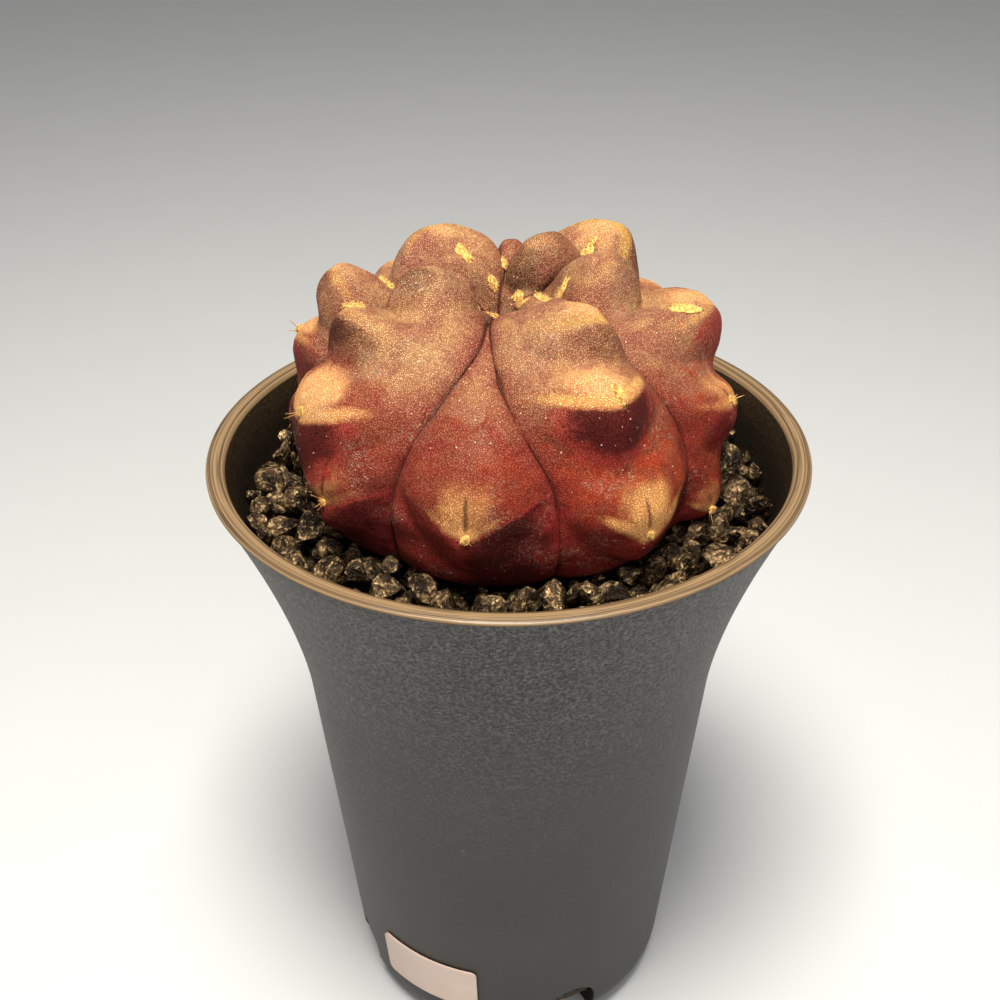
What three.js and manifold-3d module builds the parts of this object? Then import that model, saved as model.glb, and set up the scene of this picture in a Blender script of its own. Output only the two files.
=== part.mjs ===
// A moon cactus in a flared plastic pot, dressed with black volcanic grit.
// Millimetres, +Z up. The origin is the middle of the pot's foot, on the surface it stands on.

import * as THREE from 'three';
import { mergeVertices } from 'three/addons/utils/BufferGeometryUtils.js';
import Module from 'manifold-3d';

const wasm = await Module();
wasm.setup();

// Pot: a long 9 cm pot with a flared mouth
const potHeight = 106;
const rimRadius = 45;
const footRadius = 27.6;
const wallTaper = 0.08;
const flareStart = 66;
const flareReach = 8.9;
const flarePower = 2.2;
const wallThickness = 1.5;
const footRound = 6;
const footRingWidth = 3;
const floorRise = 3;
const floorThickness = 1.6;
const rimBead = 2.6;
const rimInnerRadius = 41;
const potSides = 48;

// Drainage: arched openings round the foot and a hole in the floor
const slotCount = 4;
const slotWidth = 9;
const slotHeight = 11;
const slotAzimuth = -68;
const floorHoleRadius = 4;

// Bare label on the wall near the foot
const labelWidth = 18;
const labelHeight = 10;
const labelThickness = 0.4;
const labelBottom = 8.5;
const labelAzimuth = -120;
const labelGap = 0.15;

// Filling
const seatGap = 0.3;
const soilTop = 92;
const bedTop = 95;
const stoneLargest = 2.8;
const stoneSmallest = 1.6;
const stoneTries = 6000;
const stoneSpacing = 0.8;
const stonesFrom = 27;

// Cactus: a flattened globe whose crown is sunk and lies a little behind the pot's axis
const globeHeight = potHeight + 1.5;
const globeRadius = 29.3;
const globeUp = 22.5;
const globeDown = 15;
const crownSink = 7;
const crownRadius = 7;
const crownShift = new THREE.Vector2(-1.5, 4.5);
const crownShiftFade = 80;
const ribRise = 2.4;
const fullRibWidth = 14;
const arcRadius = 29;
const narrowest = 6;
const peakPower = 1.3;
const peakBlunt = 0.004;
const peakFillet = 0.07;
const peakBlend = 2.5;
const baseFadeFrom = 108;
const baseFadeTo = 150;
const columnsPerRib = 10;
const bodyRows = 37;
const neckTopRadius = 6.5;
const neckTipRadius = 3;
const neckLength = 20;

// Creases between the ribs: azimuth in degrees at each of these angles down from the crown
const creaseAngles = [12, 28, 50, 75, 110];
const creases = [
  [-100, -100, -112, -121, -124],
  [-98, -95, -89, -79, -77],
  [-18, -37, -37, -33, -36],
  [28, 26, 22, 18, 16],
  [80, 76, 73, 72, 70],
  [84, 90, 98, 104, 106],
  [150, 162, 155, 148, 146],
  [176, 188, 193, 184, 182],
];
const ribCount = creases.length;

// Tubercles by rib: angle down from the crown, azimuth, height, then reach up, down and aside in mm.
// The last value is how far above the tubercle's point its areole sits, in degrees.
const tubercles = [
  [[93, -101, 3.0, 14, 7, 10, 1]],
  [[31, -49, 4.8, 15, 5, 10, 13], [53, -53, 5.2, 8, 11, 12, 2], [97, -55, 3.6, 13, 7, 12, 1]],
  [[26, 8, 4.8, 10, 5, 9, 10], [50, 12, 5.4, 9, 8, 12, 4], [80, 0, 4.4, 9, 9, 10, 1],
    [104, -20, 2.4, 9, 6, 9, 1]],
  [[20, 48, 4.6, 9, 5, 8, 9], [42, 44, 7.0, 9, 8, 12, 7], [68, 44, 4.4, 9, 9, 10, 1],
    [98, 42, 3.2, 11, 7, 10, 1]],
  [[60, 88, 2.4, 12, 8, 8, 1], [96, 88, 3.0, 14, 7, 9, 1]],
  [[33, 126, 5.8, 11, 7, 15, 8], [62, 124, 4.4, 10, 9, 11, 1], [94, 124, 3.2, 11, 7, 11, 1]],
  [[40, 168, 5.8, 12, 7, 12, 6], [66, 168, 3.8, 9, 9, 10, 1], [96, 165, 3.2, 11, 7, 10, 1]],
  [[19, 188, 4.6, 9, 5, 9, 8], [41, 198, 5.8, 9, 7, 12, 4], [72, 203, 5.2, 9, 11, 13, 1],
    [97, 214, 3.0, 11, 7, 11, 1]],
];

// Young tubercles round the growing point: x and y from the crown's middle, height, radius
const youngTubercles = [
  [-1.6, 3.6, 2.6, 3.0],
  [3.0, -2.6, 2.6, 2.8],
  [-1.6, -2.4, 2.0, 2.4],
  [-4.6, 0.8, 2.2, 2.6],
  [2.4, 1.8, 1.8, 2.2],
];

const feltRadius = 1.1;
const feltSink = 0.5;
const spineLength = 4;
const spineSink = 1.8;
const spineRadius = 0.22;
const spinesPerAreole = 3;
const spineAngleFrom = 66;
const spineAngleTo = 90;

const degrees = THREE.MathUtils.degToRad;
const ease = (x) => THREE.MathUtils.smoothstep(x, 0, 1);

// Repeatable random numbers from 0 to 1
function seeded(seed) {
  let state = seed;
  return () => {
    state = (state * 1664525 + 1013904223) % 4294967296;
    return state / 4294967296;
  };
}

// Booleans

function toSolid(geometry) {
  const bare = new THREE.BufferGeometry();
  bare.setAttribute('position', geometry.attributes.position.clone());
  if (geometry.index) bare.setIndex(geometry.index.clone());
  const merged = mergeVertices(bare, 1e-4);
  const corners = merged.index.array;
  const triangles = [];
  for (let i = 0; i < corners.length; i += 3) {
    const [a, b, c] = [corners[i], corners[i + 1], corners[i + 2]];
    if (a !== b && b !== c && c !== a) triangles.push(a, b, c);
  }
  return new wasm.Manifold(new wasm.Mesh({
    numProp: 3,
    vertProperties: new Float32Array(merged.attributes.position.array),
    triVerts: new Uint32Array(triangles),
  }));
}

function toGeometry(solid) {
  const mesh = solid.getMesh();
  const geometry = new THREE.BufferGeometry();
  geometry.setAttribute('position', new THREE.BufferAttribute(mesh.vertProperties, 3));
  geometry.setIndex(new THREE.BufferAttribute(mesh.triVerts, 1));
  geometry.computeVertexNormals();
  return geometry;
}

// A solid of revolution about Z from a closed outline of [radius, height] points
function turned(outline, sides) {
  const points = outline.map(([radius, height]) => new THREE.Vector2(radius, height));
  const geometry = new THREE.LatheGeometry(points, sides);
  geometry.rotateX(Math.PI / 2);
  return toSolid(geometry);
}

// Pot

function wallRadius(height) {
  const flare = Math.max(0, (height - flareStart) / (potHeight - flareStart));
  return footRadius + wallTaper * height + flareReach * Math.pow(flare, flarePower);
}

function innerRadius(height) {
  return Math.min(wallRadius(height) - wallThickness, rimInnerRadius);
}

function heights(from, to, steps) {
  return Array.from({ length: steps + 1 }, (_, i) => from + (to - from) * i / steps);
}

function potOutline() {
  const ringOuter = wallRadius(footRound) - footRound;
  const ringInner = ringOuter - footRingWidth;
  const floorTop = floorRise + floorThickness;
  const foot = heights(0, 90, 4).map((turn) => [
    ringOuter + footRound * Math.sin(degrees(turn)),
    footRound - footRound * Math.cos(degrees(turn)),
  ]);
  const wallTop = potHeight - rimBead;
  const straight = heights(footRound, flareStart, 2).slice(1).map((z) => [wallRadius(z), z]);
  const flare = heights(flareStart, wallTop, 5).slice(1).map((z) => [wallRadius(z), z]);
  const bead = [
    [rimRadius - 0.3, potHeight - 2.2],
    [rimRadius, potHeight - 1.1],
    [rimRadius - 0.5, potHeight - 0.25],
    [rimRadius - 1.5, potHeight],
    [rimRadius - 2.8, potHeight - 0.3],
    [rimInnerRadius, potHeight - 1.8],
  ];
  const inside = heights(potHeight - 6, flareStart, 3).map((z) => [innerRadius(z), z]);
  return [
    [0, floorRise],
    [ringInner - floorRise, floorRise],
    [ringInner, 0],
    ...foot,
    ...straight,
    ...flare,
    ...bead,
    ...inside,
    [innerRadius(footRound), footRound],
    [innerRadius(footRound) - 1, floorTop],
    [0, floorTop],
  ];
}

function slotCutter(azimuth) {
  const half = slotWidth / 2;
  const arch = new THREE.Shape();
  arch.moveTo(-half, -1);
  arch.lineTo(half, -1);
  arch.lineTo(half, slotHeight - half);
  arch.absarc(0, slotHeight - half, half, 0, Math.PI, false);
  const reach = new THREE.ExtrudeGeometry(arch, { depth: 12, bevelEnabled: false, curveSegments: 8 });
  reach.rotateX(Math.PI / 2);
  reach.rotateZ(Math.PI / 2);
  reach.translate(footRadius - 7, 0, 0);
  reach.rotateZ(degrees(azimuth));
  return toSolid(reach);
}

function makePot() {
  const hole = new THREE.CylinderGeometry(floorHoleRadius, floorHoleRadius, 4 * floorThickness, 20);
  hole.rotateX(Math.PI / 2);
  hole.translate(0, 0, floorRise);
  let pot = turned(potOutline(), potSides).subtract(toSolid(hole));
  for (let i = 0; i < slotCount; i++) {
    pot = pot.subtract(slotCutter(slotAzimuth + 360 / slotCount * i));
  }
  return pot;
}

// A flat plate bent round the wall
function makeLabel() {
  const plate = new THREE.BoxGeometry(labelWidth, labelThickness, labelHeight, 12, 1, 2);
  const place = plate.attributes.position;
  for (let i = 0; i < place.count; i++) {
    const height = labelBottom + labelHeight / 2 + place.getZ(i);
    const radius = wallRadius(height) + labelGap + labelThickness / 2 - place.getY(i);
    const turn = degrees(labelAzimuth) + place.getX(i) / wallRadius(labelBottom);
    place.setXYZ(i, radius * Math.cos(turn), radius * Math.sin(turn), height);
  }
  return toSolid(plate);
}

// Cactus

// Catmull-Rom curve through the values at the crease angles
function creaseAzimuth(crease, angle) {
  const last = creaseAngles.length - 1;
  const x = THREE.MathUtils.clamp(angle, creaseAngles[0], creaseAngles[last]);
  const i = Math.min(creaseAngles.findLastIndex((knot) => knot <= x), last - 1);
  const values = creases[crease % ribCount];
  const [before, from] = [values[Math.max(i - 1, 0)], values[i]];
  const [to, after] = [values[i + 1], values[Math.min(i + 2, last)]];
  const k = (x - creaseAngles[i]) / (creaseAngles[i + 1] - creaseAngles[i]);
  const bend = 2 * before - 5 * from + 4 * to - after;
  const twist = 3 * from - before - 3 * to + after;
  return 0.5 * (2 * from + (to - before) * k + bend * k * k + twist * k * k * k);
}

function ribEdges(rib, angle) {
  const left = creaseAzimuth(rib, angle);
  const right = creaseAzimuth(rib + 1, angle);
  return [left, right < left ? right + 360 : right];
}

// The globe's outline: radius and height at an angle down from the crown
function meridian(angle) {
  const up = Math.cos(degrees(angle));
  const radius = globeRadius * Math.pow(Math.max(Math.sin(degrees(angle)), 0), 0.93);
  const rise = globeUp * Math.pow(Math.max(up, 0), 0.85);
  const fall = globeDown * Math.pow(Math.max(-up, 0), 0.8);
  const sink = up > 0 ? crownSink * Math.exp(-Math.pow(radius / crownRadius, 2)) : 0;
  return [radius, globeHeight + rise - fall - sink];
}

// A tubercle is a blunt four-sided peak: long above, short below
function peak(tubercle, angle, azimuth, radius) {
  const [middle, turn, height, up, down, aside] = tubercle;
  const along = degrees(angle - middle) * arcRadius;
  const offCentre = THREE.MathUtils.euclideanModulo(azimuth - turn + 180, 360) - 180;
  const across = degrees(offCentre) * Math.max(radius, narrowest);
  const reach = along < 0 ? up : down;
  const slopes = Math.pow(Math.abs(along) / reach, peakPower) + Math.pow(Math.abs(across) / aside, peakPower);
  const left = 1 - Math.pow(slopes + peakBlunt, 1 / peakPower);
  return height * 0.5 * (left + Math.hypot(left, peakFillet));
}

function reliefHeight(rib, across, angle, azimuth, radius, span) {
  const width = degrees(span) * radius;
  const crown = Math.max(Math.cos(degrees(angle)), 0);
  const rise = ribRise * ease(width / fullRibWidth) * (0.75 + 0.35 * crown);
  const pillow = Math.sqrt(Math.max(1 - Math.pow(Math.abs(across), 3.2), 0));
  const keel = 1 - Math.abs(across);
  const edge = Math.sqrt(Math.max(1 - Math.pow(across, 4), 0));
  const peaks = tubercles[rib].map((one) => Math.pow(peak(one, angle, azimuth, radius), peakBlend));
  const highest = Math.pow(peaks.reduce((sum, one) => sum + one, 0), 1 / peakBlend);
  return rise * (0.85 * pillow + 0.15 * keel) + highest * edge;
}

// A point of the skin: across runs from -1 to 1 between the rib's two creases
function skinPoint(rib, across, angle, offset = 0) {
  const [radius, height] = meridian(angle);
  const [radiusAfter, heightAfter] = meridian(Math.min(angle + 0.1, 180));
  const [radiusBefore, heightBefore] = meridian(Math.max(angle - 0.1, 0));
  const slope = new THREE.Vector2(radiusAfter - radiusBefore, heightAfter - heightBefore).normalize();
  const [left, right] = ribEdges(rib, angle);
  const azimuth = left + (right - left) * (across + 1) / 2;
  const relief = reliefHeight(rib, across, angle, azimuth, radius, right - left);
  const base = 1 - ease((angle - baseFadeFrom) / (baseFadeTo - baseFadeFrom));
  const lift = relief * base * ease(radius / 4) + offset;
  const reach = angle <= 0 || angle >= 180 ? 0 : Math.max(radius - lift * slope.y, 0);
  const point = new THREE.Vector3(
    reach * Math.cos(degrees(azimuth)),
    reach * Math.sin(degrees(azimuth)),
    height + lift * slope.x,
  );
  if (angle < 60) {
    for (const [x, y, rise, size] of youngTubercles) {
      point.z += rise * Math.exp(-Math.pow(Math.hypot(point.x - x, point.y - y) / size, 3));
    }
  }
  const shift = 1 - ease(angle / crownShiftFade);
  point.x += crownShift.x * shift;
  point.y += crownShift.y * shift;
  return point;
}

function skin(offset) {
  const columns = ribCount * columnsPerRib;
  const geometry = new THREE.SphereGeometry(1, columns, bodyRows);
  const place = geometry.attributes.position;
  for (let i = 0; i < place.count; i++) {
    const row = Math.floor(i / (columns + 1));
    const column = i % (columns + 1) % columns;
    const linear = 2 * (column % columnsPerRib) / columnsPerRib - 1;
    const across = Math.sign(linear) * (1 - Math.pow(1 - Math.abs(linear), 1.25));
    const angle = 180 * Math.pow(row / bodyRows, 1.15);
    const point = skinPoint(Math.floor(column / columnsPerRib), across, angle, offset);
    place.setXYZ(i, point.x, point.y, point.z);
  }
  return toSolid(geometry);
}

// Where a tubercle's areole sits, and the way out of the skin there
function areole(rib, tubercle) {
  const [middle, turn, , , , , above] = tubercle;
  const angle = middle - above;
  const [left, right] = ribEdges(rib, angle);
  const from = THREE.MathUtils.euclideanModulo(turn - left, 360);
  const across = THREE.MathUtils.clamp(2 * from / (right - left) - 1, -0.7, 0.7);
  const point = skinPoint(rib, across, angle);
  const down = skinPoint(rib, across, angle + 2).sub(skinPoint(rib, across, angle - 2));
  const aside = skinPoint(rib, across + 0.05, angle).sub(skinPoint(rib, across - 0.05, angle));
  return { point, out: down.cross(aside).normalize() };
}

function feltTuft({ point, out }, gap, random) {
  const tuft = new THREE.IcosahedronGeometry(feltRadius * (0.8 + 0.4 * random()) + 1.5 * gap, 0);
  tuft.scale(1, 1, 0.7);
  tuft.applyQuaternion(new THREE.Quaternion().setFromUnitVectors(new THREE.Vector3(0, 0, 1), out));
  const seat = point.clone().addScaledVector(out, -feltSink);
  tuft.translate(seat.x, seat.y, seat.z);
  return toSolid(tuft);
}

function spine({ point, out }, number, gap, random) {
  const spike = new THREE.ConeGeometry(spineRadius + gap, spineLength + gap, 4);
  spike.translate(0, spineLength / 2 - spineSink, 0);
  const lean = new THREE.Vector3(0, 0, 1).cross(out).normalize().applyAxisAngle(out, number * 2.1);
  const aim = out.clone().addScaledVector(lean, 0.5 + 0.3 * random()).normalize();
  spike.applyQuaternion(new THREE.Quaternion().setFromUnitVectors(new THREE.Vector3(0, 1, 0), aim));
  spike.translate(point.x, point.y, point.z);
  return toSolid(spike);
}

// The whole plant, or the room that it needs when a gap is given
function makeCactus(gap = 0) {
  const random = seeded(7);
  const neck = new THREE.CylinderGeometry(neckTopRadius + gap, neckTipRadius + gap, neckLength, 16);
  neck.rotateX(Math.PI / 2);
  neck.translate(0, 0, soilTop + 3 - neckLength / 2);
  let cactus = skin(gap).add(toSolid(neck));
  tubercles.forEach((rib, number) => rib.forEach((one) => {
    const place = areole(number, one);
    cactus = cactus.add(feltTuft(place, gap, random));
    if (one[0] < spineAngleFrom || one[0] > spineAngleTo) return;
    for (let i = 0; i < spinesPerAreole; i++) cactus = cactus.add(spine(place, i, gap, random));
  }));
  return cactus;
}

// Filling

function makeSoil() {
  const floor = floorRise + floorThickness + seatGap;
  const neckTip = soilTop + 3 - neckLength;
  const side = [footRound, flareStart, 80, soilTop].map((z) => [innerRadius(z) - seatGap, z]);
  return turned([
    [0, floor],
    [innerRadius(footRound) - 1.2, floor],
    ...side,
    [neckTopRadius + 2 * seatGap, soilTop],
    [neckTipRadius + 2 * seatGap, neckTip - seatGap],
    [0, neckTip - seatGap],
  ], potSides);
}

// Places for stones that keep clear of each other, large ones first
function stonePlaces(random) {
  const places = [];
  for (let i = 0; i < stoneTries; i++) {
    const size = stoneLargest + (stoneSmallest - stoneLargest) * Math.sqrt(i / stoneTries);
    const middle = bedTop + 0.3 * size;
    const outer = innerRadius(middle) - size - 2 * seatGap;
    const radius = Math.sqrt(random()) * outer;
    const turn = random() * 2 * Math.PI;
    const spot = new THREE.Vector3(radius * Math.cos(turn), radius * Math.sin(turn), middle);
    const clear = places.every((one) => one.spot.distanceTo(spot) > stoneSpacing * (one.size + size));
    if (clear && radius > stonesFrom) places.push({ spot, size });
  }
  return places;
}

function stone({ spot, size }, random) {
  const rock = new THREE.IcosahedronGeometry(size, 0);
  rock.scale(0.85 + 0.3 * random(), 0.85 + 0.3 * random(), 0.8 + 0.3 * random());
  rock.rotateX(random() * Math.PI);
  rock.rotateZ(random() * Math.PI);
  rock.translate(spot.x, spot.y, spot.z);
  return toSolid(rock);
}

function makeGrit() {
  const random = seeded(41);
  const bottom = soilTop + seatGap;
  let grit = turned([
    [0, bottom],
    [innerRadius(bottom) - seatGap, bottom],
    [innerRadius(bedTop) - seatGap, bedTop],
    [0, bedTop],
  ], potSides);
  for (const place of stonePlaces(random)) grit = grit.add(stone(place, random));
  return grit.subtract(makeCactus(seatGap));
}

const finishes = {
  pot: { color: 0x4a4846, roughness: 0.62, metalness: 0 },
  soil: { color: 0x2b211b, roughness: 0.95, metalness: 0 },
  grit: { color: 0x1d1a18, roughness: 0.35, metalness: 0 },
  cactus: { color: 0x9a5648, roughness: 0.55, metalness: 0 },
  label: { color: 0xd8cdc6, roughness: 0.5, metalness: 0 },
};

const makers = { pot: makePot, soil: makeSoil, grit: makeGrit, cactus: makeCactus, label: makeLabel };

const pottedCactus = new THREE.Group();
for (const [name, make] of Object.entries(makers)) {
  const mesh = new THREE.Mesh(toGeometry(make()), new THREE.MeshStandardMaterial(finishes[name]));
  mesh.name = name;
  pottedCactus.add(mesh);
}

export default pottedCactus;
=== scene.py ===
import math
import random

import bmesh
import bpy
import numpy as np
from mathutils import Matrix, Vector, noise
from mathutils.bvhtree import BVHTree


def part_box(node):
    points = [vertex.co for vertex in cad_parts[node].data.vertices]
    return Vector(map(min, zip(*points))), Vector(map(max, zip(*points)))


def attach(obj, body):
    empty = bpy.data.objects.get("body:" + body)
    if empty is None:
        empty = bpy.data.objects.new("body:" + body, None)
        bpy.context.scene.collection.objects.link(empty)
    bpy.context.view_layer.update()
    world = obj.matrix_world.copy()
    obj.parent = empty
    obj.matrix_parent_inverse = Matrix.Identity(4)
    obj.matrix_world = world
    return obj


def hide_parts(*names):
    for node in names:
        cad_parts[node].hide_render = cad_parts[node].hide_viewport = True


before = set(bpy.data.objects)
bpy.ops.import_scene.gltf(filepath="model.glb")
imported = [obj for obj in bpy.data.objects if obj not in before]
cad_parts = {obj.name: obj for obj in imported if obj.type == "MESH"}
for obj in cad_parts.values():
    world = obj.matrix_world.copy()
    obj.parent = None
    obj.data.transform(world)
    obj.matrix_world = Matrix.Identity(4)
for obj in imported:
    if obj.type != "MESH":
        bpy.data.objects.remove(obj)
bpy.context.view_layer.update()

mm = 0.001  # every length in the dictionaries is in millimetres
degree = math.pi / 180
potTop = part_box("pot")[1][2] / mm
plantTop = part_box("cactus")[1][2]


# Shader maths: a wrapped socket, and one method for every other node

class Wire:
    def __init__(self, finish, socket):
        self.finish = finish
        self.socket = socket

    def maths(self, operation, first, second):
        return self.finish.node("ShaderNodeMath", {"operation": operation}, {0: first, 1: second})

    def __add__(self, other):
        return self.maths("ADD", self, other)

    def __radd__(self, other):
        return self.maths("ADD", other, self)

    def __sub__(self, other):
        return self.maths("SUBTRACT", self, other)

    def __rsub__(self, other):
        return self.maths("SUBTRACT", other, self)

    def __mul__(self, other):
        return self.maths("MULTIPLY", self, other)

    def __rmul__(self, other):
        return self.maths("MULTIPLY", other, self)

    def __truediv__(self, other):
        return self.maths("DIVIDE", self, other)

    def __pow__(self, other):
        return self.maths("POWER", self, other)

    def top(self, other):
        return self.maths("MAXIMUM", self, other)

    def between(self, low, high):  # 0 below low, 1 above high, smooth in between
        return self.finish.node("ShaderNodeMapRange", {"interpolation_type": "SMOOTHSTEP"},
                                {"Value": self, "From Min": low, "From Max": high})


class Finish:
    def __init__(self, name):
        self.material = bpy.data.materials.new(name)
        self.material.use_nodes = True
        self.tree = self.material.node_tree
        self.shader = self.tree.nodes["Principled BSDF"]

    def node(self, kind, settings, inputs, output=0):
        made = self.tree.nodes.new(kind)
        for name, value in settings.items():
            setattr(made, name, value)
        for name, value in inputs.items():
            self.plug(made.inputs[name], value)
        return Wire(self, made.outputs[output])

    def plug(self, socket, value):
        if isinstance(value, Wire):
            self.tree.links.new(value.socket, socket)
        elif socket.type == "RGBA" and len(value) == 3:
            socket.default_value = (*value, 1)
        else:
            socket.default_value = value

    def set(self, **values):
        for name, value in values.items():
            self.plug(self.shader.inputs[socketNames[name]], value)

    def place(self):
        return self.node("ShaderNodeTexCoord", {}, {}, "Object")

    def along(self, axis):  # X, Y or Z of the place, in metres
        return self.node("ShaderNodeSeparateXYZ", {}, {0: self.place()}, axis)

    def attribute(self, name):
        return self.node("ShaderNodeAttribute", {"attribute_name": name}, {}, "Fac")

    def noise(self, size, detail=2.0, rough=0.5, distortion=0.0, where=None):
        inputs = {"Vector": where or self.place(), "Scale": 1 / (size * mm), "Detail": detail,
                  "Roughness": rough, "Distortion": distortion}
        return self.node("ShaderNodeTexNoise", {}, inputs, "Fac")

    def cells(self, size, feature="F1", where=None):
        return self.node("ShaderNodeTexVoronoi", {"feature": feature},
                         {"Vector": where or self.place(), "Scale": 1 / (size * mm)}, "Distance")

    def mix(self, factor, first, second, blend="MIX"):
        return self.node("ShaderNodeMix", {"data_type": "RGBA", "blend_type": blend},
                         {0: factor, 6: first, 7: second}, 2)

    def bump(self, height, depth):  # depth in millimetres
        return self.node("ShaderNodeBump", {}, {"Height": height, "Distance": depth * mm, "Strength": 1.0})


socketNames = {
    "colour": "Base Color", "roughness": "Roughness", "metallic": "Metallic", "normal": "Normal",
    "specular": "Specular IOR Level", "sheen": "Sheen Weight",
    "flesh": "Subsurface Weight", "fleshScale": "Subsurface Scale", "fleshRadius": "Subsurface Radius",
}


# Mesh helpers

def addObject(name, mesh, finish=None):
    piece = bpy.data.objects.new(name, mesh)
    bpy.context.scene.collection.objects.link(piece)
    if finish:
        mesh.materials.append(finish.material)
    return piece


def meshFrom(bm, name, smooth=True):
    mesh = bpy.data.meshes.new(name)
    bm.to_mesh(mesh)
    bm.free()
    mesh.polygons.foreach_set("use_smooth", [smooth] * len(mesh.polygons))
    return mesh


def getPoints(mesh):
    flat = np.empty(len(mesh.vertices) * 3)
    mesh.vertices.foreach_get("co", flat)
    return flat.reshape(-1, 3)


def setPoints(mesh, points):
    mesh.vertices.foreach_set("co", np.ascontiguousarray(points).ravel())
    mesh.update()


def vertexNormals(mesh):
    flat = np.empty(len(mesh.vertices) * 3, np.float32)
    mesh.vertex_normals.foreach_get("vector", flat)
    return flat.reshape(-1, 3)


def storeValues(mesh, name, values):
    layer = mesh.attributes.new(name, "FLOAT", "POINT")
    layer.data.foreach_set("value", np.ascontiguousarray(values, dtype=np.float32))


def ease(x):
    x = np.clip(x, 0, 1)
    return x * x * (3 - 2 * x)


def between(values, ends):
    return ease((values - ends[0]) / (ends[1] - ends[0]))


# Cactus

cactus = {
    "ribCount": 8, "columnsPerRib": 46, "rows": 210,
    "columnCrowding": 1.35, "rowCrowding": 1.12,  # columns crowd at the creases, rows at the crown
    "globeHeight": potTop + 1.5, "globeRadius": 29.3, "globeUp": 22.5, "globeDown": 15.0,
    "sidePower": 0.93, "upPower": 0.85, "downPower": 0.8,
    "crownSink": 9.0, "crownRadius": 7.0, "crownShift": (-1.5, 4.5), "crownShiftFade": 80.0,
    "ribRise": 2.4, "fullRibWidth": 14.0, "arcRadius": 29.0, "narrowest": 6.0,
    "ribAtBase": 0.75, "ribAtCrown": 0.35,  # share of the rise, and what the crown adds to it
    "pillowShare": 0.85, "roofShare": 0.15, "pillowPower": 3.2, "edgePower": 4,
    "reliefRadii": (2, 10), "baseFade": (108.0, 150.0), "topGap": 0.1, "seamDepth": 0.25, "slopeStep": 0.1,
    "peakPower": 1.5, "peakBlunt": 0.004, "peakFillet": 0.05, "peakBlend": 2.5, "peakFlat": 1.3,
    "peakTop": 0.13,
    # how far the chins hang, their rounding, and the angle from which they hang in full
    "chinSlope": 0.62, "chinRound": 0.9, "chinLeast": 0.4, "chinFrom": 40.0, "chinOver": 40.0,
    "foldDepth": 0.7, "foldWidth": 1.3, "foldReach": 0.8,
    "seamFrom": 70, "lowFrom": 85,  # further down than these a tubercle has a seam, or counts as low
    "lumps": ((9.0, 0.55), (4.5, 0.42), (1.6, 0.07)), "lumpFade": 12.0,  # size and depth of each layer
    # creases between the ribs: azimuth at each of these angles down from the crown
    "creaseAngles": (12, 28, 50, 75, 110),
    "creases": (
        (-100, -100, -112, -121, -124),
        (-98, -95, -89, -79, -77),
        (-18, -37, -37, -33, -36),
        (28, 26, 22, 18, 16),
        (80, 76, 73, 72, 70),
        (84, 90, 98, 104, 106),
        (150, 162, 155, 148, 146),
        (176, 188, 193, 184, 182),
    ),
    # tubercles by rib: angle, azimuth, height, reach up, down and aside, then the areole's angle and
    # azimuth, paleness above it, darkness under it
    "tubercles": (
        ((86, -100, 3.0, 14, 8, 10, 86, -100, 0.6, 0.9),),
        ((36, -48, 4.8, 9, 6, 10, 16, -32, 0.6, 0.35), (56, -62, 4.7, 8, 9, 11, 54, -60, 0.8, 1.0),
         (90, -58, 3.6, 13, 7, 12, 89, -58, 0.8, 0.8)),
        ((28, 0, 4.8, 6, 6, 10, 17, -14, 0.4, 0.3), (54, 2, 6.2, 8, 8, 12, 47, -8, 0.6, 0.35),
         (74, -16, 3.0, 9, 9, 10, 73, -16, 0.55, 0.6), (100, -28, 2.4, 9, 6, 9, 100, -28, 0.5, 0.7)),
        ((20, 47, 4.6, 5, 6, 8, 9, 53, 0.3, 0.3), (40, 44, 7.0, 6, 8, 12, 31, 40, 0.7, 0.5),
         (68, 44, 4.4, 9, 9, 10, 67, 44, 0.7, 0.6), (96, 42, 3.2, 11, 7, 10, 96, 42, 0.6, 0.7)),
        ((31, 88, 3.2, 5, 8, 8, 20, 88, 0.2, 0.3), (62, 88, 2.6, 10, 8, 8, 61, 88, 0.2, 0.4),
         (94, 88, 3.0, 14, 7, 9, 94, 88, 0.5, 0.8)),
        ((32, 124, 4.2, 5, 7, 15, 21, 118, 0.45, 0.25), (62, 124, 4.4, 10, 9, 11, 61, 124, 0.8, 0.6),
         (92, 124, 3.2, 11, 7, 11, 92, 124, 0.6, 0.7)),
        ((43, 170, 6.6, 6, 8, 12, 32, 165, 0.5, 0.3), (66, 168, 3.8, 9, 9, 10, 65, 168, 0.7, 0.6),
         (94, 165, 3.2, 11, 7, 10, 94, 165, 0.6, 0.7)),
        ((21, 200, 4.6, 5, 6, 9, 10, 200, 0.3, 0.45), (43, 198, 5.8, 6, 7, 12, 39, 196, 0.45, 0.8),
         (69, 211, 4.1, 10, 12, 13, 68, 211, 0.9, 0.9), (88, 221, 3.0, 11, 7, 11, 88, 221, 0.5, 0.7)),
    ),
    # young tubercles round the growing point: x and y from the crown's middle, height, radius
    "youngTo": 60,
    "young": (
        (-0.6, 3.4, 5.2, 2.7), (4.2, -2.8, 3.4, 2.6), (-0.8, -2.8, 3.2, 1.9), (-4.6, 0.4, 3.2, 2.4),
        (3.4, 1.8, 2.6, 2.2), (-3.6, -4.2, 2.4, 2.2),
    ),
}

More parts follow.
